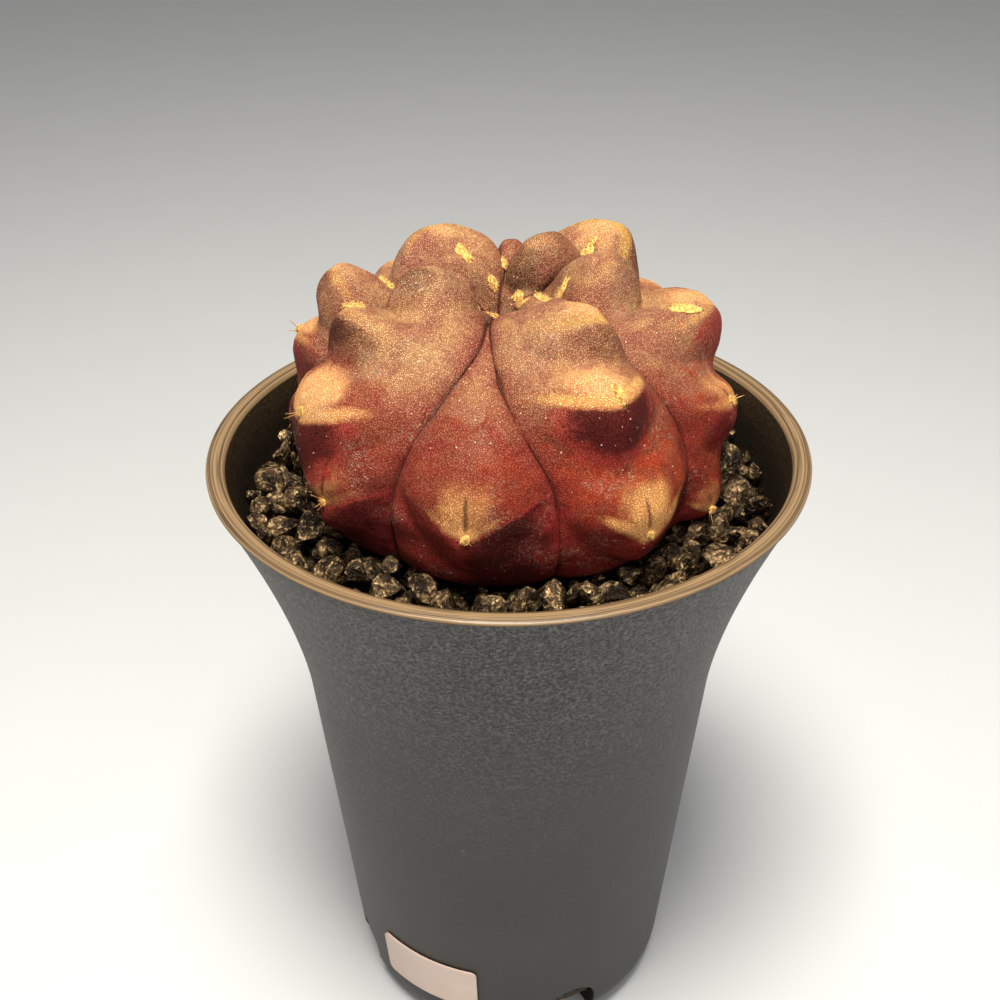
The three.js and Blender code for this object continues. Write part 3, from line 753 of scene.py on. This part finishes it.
def makeLabel(finish):
    bm = bmesh.new()
    corner, stretch = label["corner"], label["cornerStretch"]
    bmesh.ops.create_grid(bm, x_segments=label["columns"], y_segments=label["rows"], size=1)
    for vert in bm.verts:
        u, v = vert.co.x, vert.co.y
        overU, overV = max(abs(u) - 1 + corner, 0), max(abs(v) - 1 + corner * stretch, 0)
        if overU and overV:  # rounds the corners
            short = corner / max(corner, math.hypot(overU, overV / stretch))
            u -= math.copysign(overU * (1 - short), u)
            v -= math.copysign(overV * (1 - short), v)
        height = label["bottom"] + label["height"] * (v + 1) / 2
        turn = label["azimuth"] * degree + u * label["width"] / 2 / wallRadius(label["bottom"])
        radius = wallRadius(height) + label["gap"]
        vert.co = (radius * math.cos(turn) * mm, radius * math.sin(turn) * mm, height * mm)
    bmesh.ops.recalc_face_normals(bm, faces=bm.faces)
    outwards = sum(face.normal.xy.dot(face.calc_center_median().xy) for face in bm.faces)
    if outwards < 0:
        bmesh.ops.reverse_faces(bm, faces=bm.faces)
    bmesh.ops.solidify(bm, geom=bm.faces, thickness=-label["thickness"] * mm)
    bmesh.ops.recalc_face_normals(bm, faces=bm.faces)
    piece = addObject("label_plate", meshFrom(bm, "label_plate"), finish)
    piece.data.set_sharp_from_angle(angle=pot["sharpAngle"] * degree)
    return piece


def labelFinish():
    f = Finish("labelPaper")
    tone = f.noise(4, 3)
    colour = f.mix(tone, label["dark"], label["light"])
    f.set(colour=colour, roughness=0.45 + tone * 0.1, normal=f.bump(f.noise(0.3, 2), 0.015))
    return f


# Grit and soil

grit = {
    "bedTop": 95.0, "bedBottom": 92.4, "bedInner": 17.0, "bedSlope": 7.0, "bedGap": 0.2, "turns": 96,
    "large": 2.7, "small": 1.2, "tries": 20000, "seed": 23,
    "lift": 0.3, "layers": 3.4, "layerPower": 1.3, "bank": 1.1, "bankRadius": 37.0, "bankWidth": 5.0,
    "spacing": 0.88, "wallGap": 0.9, "plantGap": 0.8, "innermost": 0.4,  # in shares of size, or of area
    "chips": 8, "chipDepths": (0.4, 0.85), "stretch": (0.85, 1.25), "rough": (0.93, 1.07), "turn": 6.3,
}
# the flake colour is a painted glint of warm light, and the gap colour is painted shade
gritColours = {"dark": (0.013, 0.007, 0.003), "brown": (0.075, 0.046, 0.022), "glint": (0.62, 0.43, 0.22),
               "gap": (0.006, 0.004, 0.003)}


def stonePlaces(surface):
    draw = random.Random(grit["seed"])
    places = []
    laid = np.empty((grit["tries"], 4))
    for number in range(grit["tries"]):
        size = grit["large"] + (grit["small"] - grit["large"]) * math.sqrt(number / grit["tries"])
        height = grit["bedTop"] + grit["lift"] * size + draw.random() ** grit["layerPower"] * grit["layers"]
        outer = innerRadius(height) - grit["wallGap"] * size
        radius = outer * math.sqrt(draw.uniform(grit["innermost"], 1))
        height += grit["bank"] * float(ease((grit["bankRadius"] - radius) / grit["bankWidth"]))
        turn = draw.uniform(0, 2 * math.pi)
        spot = Vector((radius * math.cos(turn), radius * math.sin(turn), height))
        near = laid[:len(places)]
        if (np.linalg.norm(near[:, :3] - spot, axis=1) < grit["spacing"] * (size + near[:, 3])).any():
            continue
        hit, normal = surface.find_nearest(spot * mm)[:2]
        if (spot * mm - hit).dot(normal) > grit["plantGap"] * size * mm:
            laid[len(places)] = (*spot, size)
            places.append((spot, size))
    return places


def randomWay(draw):
    return Vector([draw.gauss(0, 1) for _ in range(3)]).normalized()


def makeGrit(surface, finish):
    draw = random.Random(grit["seed"] + 1)
    bm = bmesh.new()
    inner, low, high = grit["bedInner"], grit["bedBottom"], grit["bedTop"]
    outline = [(inner, low), (innerRadius(low) - grit["bedGap"], low),
               (innerRadius(high) - grit["bedGap"], high), (inner + grit["bedSlope"], high)]
    ring = [bm.verts.new((r * mm, 0, z * mm)) for r, z in outline]
    edges = [bm.edges.new((ring[i], ring[(i + 1) % len(ring)])) for i in range(len(ring))]
    bmesh.ops.spin(bm, geom=ring + edges, cent=(0, 0, 0), axis=(0, 0, 1), angle=2 * math.pi,
                   steps=grit["turns"], use_merge=True)
    bmesh.ops.recalc_face_normals(bm, faces=bm.faces)
    places = stonePlaces(surface)
    for spot, size in places:
        made = bmesh.ops.create_icosphere(bm, subdivisions=2, radius=1)
        planes = [(randomWay(draw), draw.uniform(*grit["chipDepths"])) for _ in range(grit["chips"])]
        stretch = [draw.uniform(*grit["stretch"]) for _ in range(3)]
        turned = Matrix.Rotation(draw.uniform(0, grit["turn"]), 3, randomWay(draw))
        for vert in made["verts"]:
            point = vert.co.copy()
            for way, depth in planes:
                point -= way * max(point.dot(way) - depth, 0)
            point *= draw.uniform(*grit["rough"])
            point = turned @ Vector([point[i] * stretch[i] for i in range(3)])
            vert.co = (spot + point * size) * mm
    print("stones:", len(places))
    return addObject("grit_stones", meshFrom(bm, "grit_stones", False), finish)


def gritFinish():
    f = Finish("volcanicGrit")
    broad = f.noise(2.6, 2)
    ripple = f.noise(0.9, 4, 0.62, 0.6)
    fine = f.noise(0.45, 2, 0.6)
    height = f.along("Z") / mm - grit["bedTop"]
    # painted glints: a bright warm highlight colour, with more metallic, on the ripple crests
    paintedGlints = (broad * 0.5 + ripple * 0.7 + fine * 0.4).between(0.8, 1.02)
    colour = f.mix(broad.between(0.4, 0.6), gritColours["dark"], gritColours["brown"])
    colour = f.mix(paintedGlints, colour, gritColours["glint"])
    colour = f.mix((1 - height.between(0.3, 3.2)) * 0.8, colour, gritColours["gap"])  # painted shade: darker low down, between the stones
    f.set(colour=colour, roughness=0.2 + broad * 0.15, metallic=0.38 + paintedGlints * 0.17,
          normal=f.bump(ripple + fine * 0.4, 0.75), specular=0.3)
    return f


soilColours = {"dark": (0.012, 0.008, 0.006), "brown": (0.07, 0.045, 0.028)}


def soilFinish():
    f = Finish("pottingMix")
    crumb = f.noise(1.4, 4, 0.7)
    colour = f.mix(crumb.between(0.35, 0.7), soilColours["dark"], soilColours["brown"])
    f.set(colour=colour, roughness=0.85 + crumb * 0.1, normal=f.bump(crumb, 0.8))
    return f


# Floor, light and camera

view = {"place": (-1.324, -170.514, 98.35 + potTop), "pitch": 32.684, "roll": -0.4755, "lens": 46.89,
        "sensor": 36.0, "nearest": 10.0}
stage = {"size": 3.0, "squares": 8, "colour": (0.56, 0.59, 0.62), "shade": 0.96,  # size in metres
         "sky": (1.0, 0.98, 0.95), "skyStrength": 0.29}
lamps = (  # places and sizes in metres
    {"name": "key", "place": (-0.02, -0.13, 0.57), "size": 0.2, "power": 5.8, "colour": (1.0, 0.92, 0.8)},
    {"name": "fill", "place": (0.25, -0.6, 0.42), "size": 0.5, "power": 1.8, "colour": (1.0, 0.95, 0.88)},
)


def makeStage():
    f = Finish("paleFloor")
    tone = f.noise(30, 3)
    shaded = [part * stage["shade"] for part in stage["colour"]]
    f.set(colour=f.mix(tone, stage["colour"], shaded), roughness=0.6 + tone * 0.1)
    bm = bmesh.new()
    squares = stage["squares"]
    bmesh.ops.create_grid(bm, x_segments=squares, y_segments=squares, size=stage["size"] / 2)
    floor = addObject("floor", meshFrom(bm, "floor"), f)


def makeLight():
    for lamp in lamps:
        light = bpy.data.lights.new(lamp["name"], "AREA")
        light.size = lamp["size"]
        light.energy = lamp["power"]
        light.color = lamp["colour"]
        holder = bpy.data.objects.new(lamp["name"], light)
        holder.location = lamp["place"]
        aim = Vector((0, 0, potTop * mm)) - Vector(lamp["place"])
        holder.rotation_euler = aim.to_track_quat("-Z", "Y").to_euler()
        bpy.context.scene.collection.objects.link(holder)
    world = bpy.data.worlds.new("studio")
    world.use_nodes = True
    sky = world.node_tree.nodes["Background"].inputs
    sky["Color"].default_value = (*stage["sky"], 1)
    sky["Strength"].default_value = stage["skyStrength"]
    bpy.context.scene.world = world
    bpy.context.scene.view_settings.view_transform = "Standard"


def makeCamera():
    camera = bpy.data.cameras.new("camera")
    camera.sensor_width = view["sensor"]
    camera.lens = view["lens"]
    camera.clip_start = view["nearest"] * mm
    holder = bpy.data.objects.new("camera", camera)
    pitch = Matrix.Rotation((90 - view["pitch"]) * degree, 4, "X")
    roll = Matrix.Rotation(view["roll"] * degree, 4, "Z")
    holder.matrix_world = Matrix.Translation(Vector(view["place"]) * mm) @ pitch @ roll
    bpy.context.scene.collection.objects.link(holder)
    bpy.context.scene.camera = holder


def assign(piece, node):
    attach(piece, "root")
    if node:
        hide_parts(node)


print("camera, light and floor")
makeCamera()
makeLight()
makeStage()

print("cactus")
body = makeCactusBody(skinFinish())
assign(body, "cactus")
surface = BVHTree.FromPolygons([v.co for v in body.data.vertices], [p.vertices for p in body.data.polygons])
areoles = areolePlaces(surface)
assign(makeFelt(areoles, surface, feltFinish()), None)
assign(makeSpines(areoles, spineFinish()), None)

print("pot and label")
assign(makePot(potFinish()), "pot")
assign(makeLabel(labelFinish()), "label")

print("filling")
assign(makeGrit(surface, gritFinish()), "grit")
soil = soilFinish().material
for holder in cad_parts["soil"].material_slots:
    holder.material = soil
